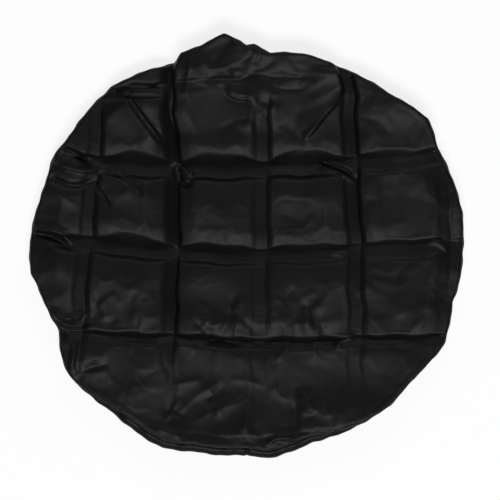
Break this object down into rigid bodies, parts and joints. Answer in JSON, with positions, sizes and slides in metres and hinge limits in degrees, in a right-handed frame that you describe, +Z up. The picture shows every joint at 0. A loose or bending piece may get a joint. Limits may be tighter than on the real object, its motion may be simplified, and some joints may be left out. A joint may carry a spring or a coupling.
{
  "type": "spare tire cover",
  "caption": "Soft round spare tire cover lying empty and flat: a coated cloth face with packing folds, sewn to a band that turns under and gathers on an elastic hem.",
  "frame": {"origin": "on the surface the cover lies on, under the middle of its outline", "axes": "+Z up out of the face, +Y towards the loose lobe at the top of the picture, +X to the picture's right"},
  "size_m": [0.7284, 0.7096, 0.0442],
  "materials": {
    "coated_cloth": "black coated cloth with a soft sheen",
    "woven_tape": "matte black woven tape",
    "braided_elastic": "matte black braid over rubber",
    "sewing_thread": "black spun thread"
  },
  "bodies": {
    "root": {"front_panel": "coated_cloth", "band_left": "coated_cloth", "band_right": "coated_cloth", "seam_binding": "woven_tape", "hem_casing": "woven_tape", "hem_elastic": "braided_elastic", "elastic_bartack": "sewing_thread", "hem_thread": "sewing_thread", "panel_seam_thread": "sewing_thread", "join_thread_top": "sewing_thread", "join_thread_bottom": "sewing_thread"}
  },
  "joints": []
}
